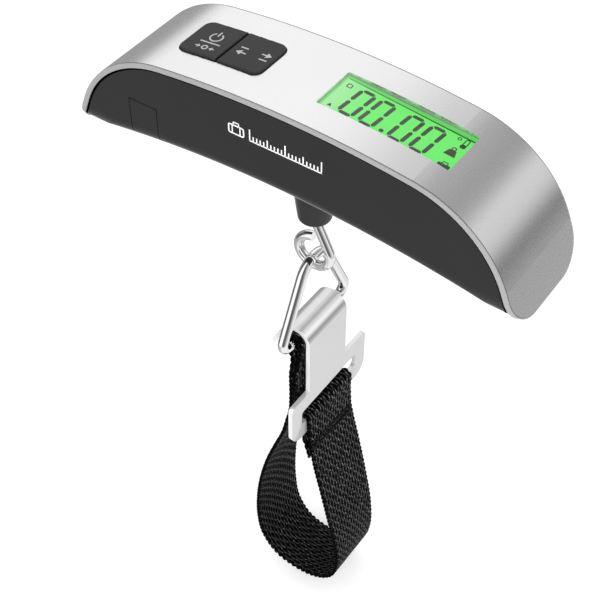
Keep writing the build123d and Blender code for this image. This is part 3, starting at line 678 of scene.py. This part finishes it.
def draw_display():
    ink = Print(on_lcd, INK_THICKNESS)
    w, h = DIGIT_HALF_WIDTH, DIGIT_HALF_HEIGHT
    # every digit is a zero, so all segments but the middle one
    for middle in DIGIT_PLACES:
        for start, end in (((-w, h), (w, h)), ((-w, -h), (w, -h)), ((-w, 0), (-w, h)),
                           ((-w, -h), (-w, 0)), ((w, 0), (w, h)), ((w, -h), (w, 0))):
            ink.slab(sorted_turn(segment(start, end, middle)))
    # decimal point
    ink.slab(rounded(mm(-1.9, -3.75), *mm(1.15, 1.15, 0.5)))
    # degree ring and thermometer
    ink.stroke(arc(mm(13.6, 5.5), 0.42 * MM, 0, 360), 0.26 * MM)
    ink.stroke(rounded(mm(15.6, 5.0), *mm(0.95, 2.6, 0.45)), 0.28 * MM, closed=True)
    ink.slab(rounded(mm(15.5, 3.6), *mm(1.5, 1.5, 0.7)))
    # weight with its ring
    ink.slab([mm(12.9, -0.9), mm(15.9, -0.9), mm(15.3, 1.2), mm(13.5, 1.2)])
    ink.stroke(arc(mm(14.4, 1.65), 0.5 * MM, 0, 360), 0.3 * MM)
    # bag with its handle
    ink.slab(rounded(mm(15.2, -5.0), *mm(3.2, 2.1, 0.4)))
    ink.stroke([mm(14.5, -3.95), mm(14.6, -3.3), mm(15.8, -3.3), mm(15.9, -3.95)], 0.3 * MM)
    # small square and triangle at the left end
    ink.stroke(rounded(mm(-16.0, 4.5), *mm(1.2, 1.2, 0.2)), 0.25 * MM, closed=True)
    ink.slab(sorted_turn([mm(-16.6, -4.4), mm(-15.4, -4.4), mm(-16.0, -3.3)]))
    ink.build("display_digits", segment_ink, "case")


draw_display()

# ---- Display surround: the wall between the glass and the window, which glows green as painted light, and a dark strip behind, painted shade ----
lens_low, lens_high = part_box("display_lens")
WINDOW_GAP = 0.10 * MM
WALL_THICKNESS = 0.15 * MM
WALL_LIFT = 0.02 * MM
WALL_CORNER = 0.48 * MM
LENS_DEPTH = 0.93 * MM
SHADE_STRIP_WIDTHS = mm(0.15, 0.45)


def make_display_surround():
    middle = (lens_low.x + lens_high.x) / 2
    width = lens_high.x - lens_low.x + 2 * WINDOW_GAP
    depth = lens_high.y - lens_low.y + 2 * WINDOW_GAP
    outer = rounded((middle, 0), width, depth, WALL_CORNER)
    inner = rounded((middle, 0), width - 2 * WALL_THICKNESS, depth - 2 * WALL_THICKNESS,
                    WALL_CORNER - WALL_THICKNESS)
    vertices = []
    for outline in (outer, inner):
        vertices += [(x, y, lcd_face_z - (x - lcd_middle_x) * tan(LCD_TILT) + WALL_LIFT) for x, y in outline]
        vertices += [(x, y, dome_height(x) - LENS_DEPTH) for x, y in outline]
    count = len(outer)
    faces = []
    for i in range(count):
        j = (i + 1) % count
        faces.append([i, j, count + j, count + i])
        faces.append([2 * count + j, 2 * count + i, 3 * count + i, 3 * count + j])
        faces.append([count + i, count + j, 3 * count + j, 3 * count + i])
        faces.append([j, i, 2 * count + i, 2 * count + j])
    add_mesh("display_bezel", vertices, faces, bezel_painted_glow, "case")
    # painted shade: a dark strip on the glass along its back edge, under the wall, widening towards the right
    back = depth / 2 - WALL_THICKNESS
    left, right = -width / 2 + WALL_THICKNESS, width / 2 - WALL_THICKNESS
    shade_strip = Print(on_lcd, INK_THICKNESS)
    shade_strip.slab([(left, back - SHADE_STRIP_WIDTHS[0]), (right, back - SHADE_STRIP_WIDTHS[1]), (right, back), (left, back)])
    shade_strip.build("display_edge_shade", segment_ink, "case")


make_display_surround()

# ---- Print on the front: a suitcase and a plain graduated scale ----
housing_low, housing_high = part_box("lower_housing")
FACE_INK_SUNK = 0.005 * MM
GRAPHIC_Z = -12.15 * MM
SUITCASE_X, SUITCASE_Y = mm(-12.6, 1.25)
SUITCASE_LENGTH, SUITCASE_HEIGHT, SUITCASE_CORNER = mm(4.4, 2.5, 0.5)
SCALE_FIRST, SCALE_LAST = mm(-8.6, 11.9)
SCALE_STEPS = 20
TICK_WIDTH = 0.34 * MM
LONG_TICK, HALF_TICK, SHORT_TICK = mm(3.3, 2.4, 1.5)


def on_face(face, outward, level=0.0):
    """Places on an upright face at y = face, which looks towards -Y or +Y, with v from a level."""
    return lambda u, v, height: (-outward * u, face + outward * (height - FACE_INK_SUNK), level + v)


def draw_suitcase(ink):
    body = rounded((SUITCASE_X, SUITCASE_Y), SUITCASE_LENGTH, SUITCASE_HEIGHT, SUITCASE_CORNER)
    ink.stroke(body, 0.38 * MM, closed=True)
    for side in (-1, 1):
        strap_x = SUITCASE_X + side * 1.15 * MM
        ink.stroke([(strap_x, 0.2 * MM), (strap_x, 2.3 * MM)], 0.3 * MM)
    handle = ((-0.9, 0), (-0.72, 0.9), (0.72, 0.9), (0.9, 0))
    ink.stroke([(SUITCASE_X + x * MM, SUITCASE_HEIGHT + rise * MM) for x, rise in handle], 0.36 * MM)


def draw_scale(ink):
    ink.stroke([(SCALE_FIRST - TICK_WIDTH / 2, 0), (SCALE_LAST + TICK_WIDTH / 2, 0)], 0.36 * MM)
    for i in range(SCALE_STEPS + 1):
        x = SCALE_FIRST + (SCALE_LAST - SCALE_FIRST) * i / SCALE_STEPS
        rise = LONG_TICK if i % 10 == 0 else HALF_TICK if i % 5 == 0 else SHORT_TICK
        ink.stroke([(x, 0), (x, rise)], TICK_WIDTH)


def draw_front():
    ink = Print(on_face(housing_low.y, -1, GRAPHIC_Z), INK_THICKNESS)
    draw_suitcase(ink)
    draw_scale(ink)
    ink.build("front_graduation", white_print, "case")


draw_front()

# ---- Painted shadow: a black strip on the housing where the rim laps over it, front and back ----
SHOULDER_RADIUS = 32.4 * MM
SHOULDER_MIDDLE = mm(31.67, -34.41)
CROWN_TURN = 7.26
SLOPE_TURN = 68.4
JOINT_INSET = 1.74 * MM
JOINT_WIDTH = 0.60 * MM
JOINT_RUN = 5.5 * MM


def joint_line():
    """The lower edge of the rim seen from the front, from the right foot to the left one."""
    right = arc(SHOULDER_MIDDLE, SHOULDER_RADIUS - JOINT_INSET, 90 - SLOPE_TURN, 90 - CROWN_TURN, 16)
    down = (JOINT_RUN * cos(radians(SLOPE_TURN)), -JOINT_RUN * sin(radians(SLOPE_TURN)))
    right.insert(0, (right[0][0] + down[0], right[0][1] + down[1]))
    crown = arc((0, -DOME_RADIUS), DOME_RADIUS - JOINT_INSET, 90 - CROWN_TURN, 90 + CROWN_TURN, 12)
    return right + crown[1:-1] + [(-x, z) for x, z in reversed(right)]


def draw_rim_shade():
    # painted shadow: black, without gloss, where the rim's lip shades the housing
    rim_painted_shadow = surface("rim_painted_shadow", (0.001, 0.001, 0.001), 0.7, grain=0.0003, bump=0.000002,
                          Specular_IOR_Level=0.0)
    for side, face, outward in (("front", housing_low.y, -1), ("back", housing_high.y, 1)):
        ink = Print(on_face(face, outward), INK_THICKNESS)
        ink.stroke(joint_line(), JOINT_WIDTH)
        ink.build(f"rim_shade_{side}", rim_painted_shadow, "case")


draw_rim_shade()

# ---- Webbing: one woven band, sewn round the link's bar and through the hook plate's slot ----
WEB_HALF_WIDTH = 12.5 * MM
WEB_THICKNESS = 1.25 * MM
WEB_STEP = 0.29 * MM
HOLE_PITCH_ACROSS, HOLE_PITCH_ALONG = mm(2.56, 3.70)
HOLE_ACROSS, HOLE_ALONG = mm(0.54, 0.95)
WEAVE_DEPTH = 0.42 * MM
GROOVE_SHARE = 0.42
TUCK_SHARE = 0.08
SCALLOP = 0.75 * MM
WEAVE_SLANT = 0.23
BACK_SHIFT_X = -1.35 * MM
BACK_DROP = -4.6 * MM
BAR_RADIUS = 1.5 * MM
bar_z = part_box("link")[0].z + BAR_RADIUS
PLATE_THICKNESS = 1.3 * MM
plate_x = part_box("hook_plate")[1].x - PLATE_THICKNESS / 2
# Middle of the band's turn over the lower edge of the slot.
SLOT_TURN_Z = -113.0 * MM
BAR_WRAP = 2.75 * MM
BAR_PULL_FRONT = 2.0 * MM
BAR_PULL_BACK = 3.3 * MM
BAR_PULL_END, BAR_PULL_RUN = mm(-88, 7)
SLOT_PULL = 1.1 * MM
SLOT_PULL_REACH, SLOT_PULL_RUN = mm(2, 9)
SLOT_PULL_FROM = 0.8
LOOP_OPENING = 14 * MM
BOTTOM_START, BOTTOM_RUN = mm(-148, 46)
SLOT_WRAP = 1.55 * MM

# The band's middle line, x and z in millimetres: the hem on the bar, the loop, and the hem at the slot.
HEM_START = [(1.85, -101.0), (1.86, -98.0), (1.87, -94.0), (1.95, -90.5), (2.45, -86.0)]
LOOP = [
    (-2.1, -86.0), (-0.4, -89.0), (0.3, -92.5), (0.5, -99.0), (0.5, -105.0), (0.1, -111.0),
    (-1.9, -118.3), (-5.6, -128.0), (-9.9, -141.0), (-12.7, -153.5), (-14.0, -165.5), (-14.1, -177.0),
    (-12.4, -187.3), (-7.4, -194.2), (0.0, -196.3), (7.9, -194.9), (14.0, -189.6), (16.5, -180.5),
    (16.0, -169.0), (13.2, -155.0), (10.3, -142.0), (7.6, -130.5), (6.2, -121.0), (5.9, -115.5),
]
HEM_END = [(2.8, -115.0), (3.3, -118.5), (4.6, -122.5), (5.7, -127.5)]
LINE_DETAIL = 24


def web_route():
    """The middle line of the band, from one sewn end to the other."""
    route = [mm(*point) for point in HEM_START]
    route += arc((0, bar_z), BAR_WRAP, -5, 185, 5)
    route += [mm(*point) for point in LOOP]
    route += arc((plate_x, SLOT_TURN_Z), SLOT_WRAP, 0, 180, 4)
    route += [mm(*point) for point in HEM_END]
    return np.array(route)


def smooth_line(points, step):
    """A smooth line through points, at about even steps, and how far along it each step lies."""
    dense = []
    extended = np.vstack([2 * points[0] - points[1], points, 2 * points[-1] - points[-2]])
    for i in range(1, len(extended) - 2):
        p0, p1, p2, p3 = extended[i - 1 : i + 3]
        d1, d2, d3 = (sqrt(np.linalg.norm(b - a)) for a, b in ((p0, p1), (p1, p2), (p2, p3)))
        m1 = (p2 - p1) + d2 * ((p1 - p0) / d1 - (p2 - p0) / (d1 + d2))
        m2 = (p2 - p1) + d2 * ((p3 - p2) / d3 - (p3 - p1) / (d2 + d3))
        for t in np.arange(0, 1, 1 / LINE_DETAIL):
            h1, h2 = 2 * t**3 - 3 * t**2 + 1, t**3 - 2 * t**2 + t
            h3, h4 = -2 * t**3 + 3 * t**2, t**3 - t**2
            dense.append(h1 * p1 + h2 * m1 + h3 * p2 + h4 * m2)
    dense.append(points[-1])
    dense = np.array(dense)
    length = np.concatenate([[0], np.cumsum(np.linalg.norm(np.diff(dense, axis=0), axis=1))])
    stations = np.linspace(0, length[-1], int(length[-1] / step) + 1)
    return np.stack([np.interp(stations, length, dense[:, k]) for k in (0, 1)], axis=1), stations


def ease(value):
    """From 0 to 1 with level ends."""
    value = np.clip(value, 0, 1)
    return value * value * (3 - 2 * value)


def below(height, run):
    """0 where the band is above a height, easing to 1 where it hangs a run lower."""
    return ease((height - web_line[:, 1]) / run)


web_line, web_along = smooth_line(web_route(), WEB_STEP)
web_tangent = np.gradient(web_line, axis=0)
web_tangent /= np.linalg.norm(web_tangent, axis=1)[:, None]
web_inner = np.stack([-web_tangent[:, 1], web_tangent[:, 0]], axis=1)
loop_depth = below(SLOT_TURN_Z, LOOP_OPENING)
loop_bottom = below(BOTTOM_START, BOTTOM_RUN)
bar_pull = 1 - below(BAR_PULL_END, BAR_PULL_RUN)
slot_pull = 1 - ease((np.abs(web_line[:, 1] - SLOT_TURN_Z) - SLOT_PULL_REACH) / SLOT_PULL_RUN)
slot_pull *= web_along > web_along[-1] * SLOT_PULL_FROM
front_half = WEB_HALF_WIDTH - BAR_PULL_FRONT * bar_pull - SLOT_PULL * slot_pull
back_half = WEB_HALF_WIDTH - BAR_PULL_BACK * bar_pull - SLOT_PULL * slot_pull


def on_web(station, across, lift):
    """Points of the band: station is an index, across runs from -1 (front) to 1 (back)."""
    x = web_line[station, 0] + web_inner[station, 0] * lift + across * BACK_SHIFT_X * loop_depth[station]
    z = web_line[station, 1] + web_inner[station, 1] * lift + across * BACK_DROP * loop_bottom[station]
    half = np.where(across < 0, front_half[station], back_half[station])
    return np.stack([x, across * half, z], axis=-1)


def weave(across_m, along_m):
    """Height of the yarns, from 0 in the gaps between them to 1 on their crowns."""
    gap = np.zeros_like(across_m)
    for shift in (0.0, 0.5):
        aside = (np.mod(across_m / HOLE_PITCH_ACROSS + shift, 1) - 0.5) * HOLE_PITCH_ACROSS / HOLE_ACROSS
        ahead = (np.mod(along_m / HOLE_PITCH_ALONG + shift, 1) - 0.5) * HOLE_PITCH_ALONG / HOLE_ALONG
        gap = np.maximum(gap, np.exp(-((aside**2 + ahead**2) ** 1.3)))
    groove = (0.5 + 0.5 * np.cos(4 * pi * across_m / HOLE_PITCH_ACROSS)) ** 2
    tuck = 0.5 + 0.5 * np.cos(4 * pi * along_m / HOLE_PITCH_ALONG + 2 * pi * across_m / HOLE_PITCH_ACROSS)
    return np.clip(1 - gap - GROOVE_SHARE * groove - TUCK_SHARE * tuck, 0, 1)


STITCH_ROWS = mm(-124.0, -126.1)
SEAM_WIDTH = 0.45 * MM
SEAM_DEPTH = 0.9
EDGE_ROUNDING = 0.5 * MM
SCALLOP_REACH = 1.1 * MM
LAST_RUN_END = 0.92
last_run = range(int(np.argmin(web_line[:, 1])), int(len(web_line) * LAST_RUN_END))


def station_at(height):
    """The station where the last run, from the loop up to the slot, passes a height."""
    return last_run[int(np.argmin(np.abs(web_line[last_run, 1] - height)))]


def row_height(middle, y):
    """Height of a slanted stitch row at a place across the band."""
    return middle - WEAVE_SLANT * y


def web_skin(rows, columns):
    """Quads over both faces of the band and round its rim, as numbers of points."""
    grid = np.arange(rows * columns).reshape(rows, columns)
    quads = np.stack([grid[:-1, :-1], grid[1:, :-1], grid[1:, 1:], grid[:-1, 1:]], axis=-1).reshape(-1, 4)
    back = quads[:, ::-1] + rows * columns
    ring = np.concatenate([grid[0, :-1], grid[:-1, -1], grid[-1, :0:-1], grid[:0:-1, 0]])
    follow = np.roll(ring, -1)
    rim = np.stack([ring, follow, follow + rows * columns, ring + rows * columns], axis=-1)
    return np.concatenate([quads, back, rim])


def store(mesh, name, kind, field, values):
    """Keeps a value at each point of the mesh, for its material to read."""
    attribute = mesh.attributes.new(name, kind, "POINT")
    attribute.data.foreach_set(field, values.astype(np.float32).ravel())


def make_webbing():
    columns = int(2 * WEB_HALF_WIDTH / WEB_STEP) + 1
    across = np.linspace(-1, 1, columns)
    rows = len(web_line)
    station = np.repeat(np.arange(rows), columns)
    lateral = np.tile(across, rows)
    slanted = web_along[station] + loop_depth[station] * WEAVE_SLANT * lateral * WEB_HALF_WIDTH
    seam = np.zeros(rows * columns)
    for height in STITCH_ROWS:
        centre = web_along[station_at(height)]
        seam += np.exp(-(((slanted - centre) / SEAM_WIDTH) ** 2))
    crown = weave(lateral * WEB_HALF_WIDTH, slanted) * (1 - SEAM_DEPTH * np.clip(seam, 0, 1))
    inset = (1 - np.abs(lateral)) * WEB_HALF_WIDTH
    edge = np.clip(inset / EDGE_ROUNDING, 0, 1)
    round_off = 1 - 0.75 * (1 - edge) ** 2
    half = WEB_THICKNESS / 2 * round_off - WEAVE_DEPTH * (1 - crown) * edge
    scallop = SCALLOP * (1 - np.abs(np.sin(2 * pi * slanted / HOLE_PITCH_ALONG))) ** 1.3
    scallop *= (1 - np.clip(inset / SCALLOP_REACH, 0, 1)) ** 1.2
    vertices = np.concatenate([on_web(station, lateral, face * half) for face in (1, -1)])
    vertices[:, 1] -= np.tile(np.sign(lateral) * scallop, 2)
    faces = web_skin(rows, columns).tolist()
    band = add_mesh("webbing_strap", vertices, faces, webbing_material(), "sling")
    # painted shade: the crown tone, and the colour with it, fades darker towards the band's rounded edges
    store(band.data, "crown", "FLOAT", "value", np.tile(crown * (0.5 + 0.5 * edge), 2))
    lay = np.stack([lateral * WEB_HALF_WIDTH, slanted, 0 * slanted], axis=1)
    store(band.data, "lay", "FLOAT_VECTOR", "vector", np.concatenate([lay, lay + MM]))
    band.data.shade_smooth()
    mesh = bmesh.new()
    mesh.from_mesh(band.data)
    bmesh.ops.recalc_face_normals(mesh, faces=mesh.faces)
    mesh.to_mesh(band.data)
    mesh.free()
    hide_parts("strap")
    return band


# ---- Stitches: short loops of thread that stand on the band ----
THREAD_RADIUS = 0.17 * MM
THREAD_SIDES, THREAD_STEPS = 6, 6
STITCH_LENGTH, STITCH_GAP = mm(2.0, 0.35)
STITCH_RISE, STITCH_DIP = mm(0.26, 0.10)
STITCH_SINK = 0.12 * MM
ROW_HALF_WIDTH = 11.9 * MM
ROW_POINTS = 12
BOX_OUTER, BOX_INNER = mm(-11.0, -3.5)
# Lower and upper end of the hem's boxes, as shares of the band's stations.
HEM_BOX = (0.012, 0.040)


def add_stitch(vertices, faces, start, end, outward):
    """One stitch: a thread that comes up, runs along and dives again."""
    sides, steps = THREAD_SIDES, THREAD_STEPS
    first = len(vertices)
    run = end - start
    aside = np.cross(run / np.linalg.norm(run), outward)
    for i in range(steps + 1):
        t = i / steps
        arch = sin(pi * t) ** 0.5 if 0 < i < steps else 0.0
        middle = start + run * t + outward * (arch * STITCH_RISE - STITCH_DIP)
        for k in range(sides):
            turn = 2 * pi * k / sides
            vertices.append(middle + THREAD_RADIUS * (cos(turn) * aside + sin(turn) * outward))
    for i in range(steps):
        for k in range(sides):
            a, b = first + i * sides + k, first + i * sides + (k + 1) % sides
            faces.append([a, b, b + sides, a + sides])
    faces.append([first + k for k in reversed(range(sides))])
    faces.append([first + steps * sides + k for k in range(sides)])


def stitch_line(vertices, faces, points, outward):
    """Stitches one after another along a polyline of points."""
    points = [np.array(p) for p in points]
    for a, b in zip(points, points[1:]):
        length = np.linalg.norm(b - a)
        count = max(1, int(round(length / (STITCH_LENGTH + STITCH_GAP))))
        for i in range(count):
            start = a + (b - a) * (i / count) + (b - a) / length * STITCH_GAP / 2
            end = a + (b - a) * ((i + 1) / count) - (b - a) / length * STITCH_GAP / 2
            add_stitch(vertices, faces, start, end, outward)


def band_point(station, y, lift):
    """A point of the band at a station, y across it and lifted off its middle."""
    return on_web(np.array([station]), np.array([y / WEB_HALF_WIDTH]), lift)[0]


def outward_at(station):
    """The way that the outer face of the band looks."""
    x, z = -web_inner[station]
    return np.array([x, 0, z])


def make_stitches():
    """Two rows across the band under the slot, and two boxes, each with a diagonal, on the bar's hem."""
    vertices, faces = [], []
    lift = STITCH_SINK - WEB_THICKNESS / 2
    for height in STITCH_ROWS:
        across = np.linspace(-ROW_HALF_WIDTH, ROW_HALF_WIDTH, ROW_POINTS)
        row = [band_point(station_at(row_height(height, y)), y, lift) for y in across]
        stitch_line(vertices, faces, row, outward_at(station_at(height)))
    low, high = (int(len(web_line) * share) for share in HEM_BOX)
    box = ((low, BOX_OUTER), (low, BOX_INNER), (high, BOX_INNER), (high, BOX_OUTER), (low, BOX_OUTER),
           (high, BOX_INNER))
    corners = [band_point(station, y, lift) for station, y in box]
    for side in (1, -1):
        stitch_line(vertices, faces, [point * (1, side, 1) for point in corners], outward_at(low))
    return add_mesh("strap_stitches", vertices, faces, thread, "sling")


webbing = make_webbing()
stitches = make_stitches()
stitches.data.shade_smooth()

# ---- Light and floor ----
make_studio()
make_floor(min(v.co.z for v in webbing.data.vertices) - 0.1 * MM)
add_light("soft_right", place=(0.42, -0.46, 0.06), aim=(0.03, 0, -0.03), size=0.45, power=3.0)
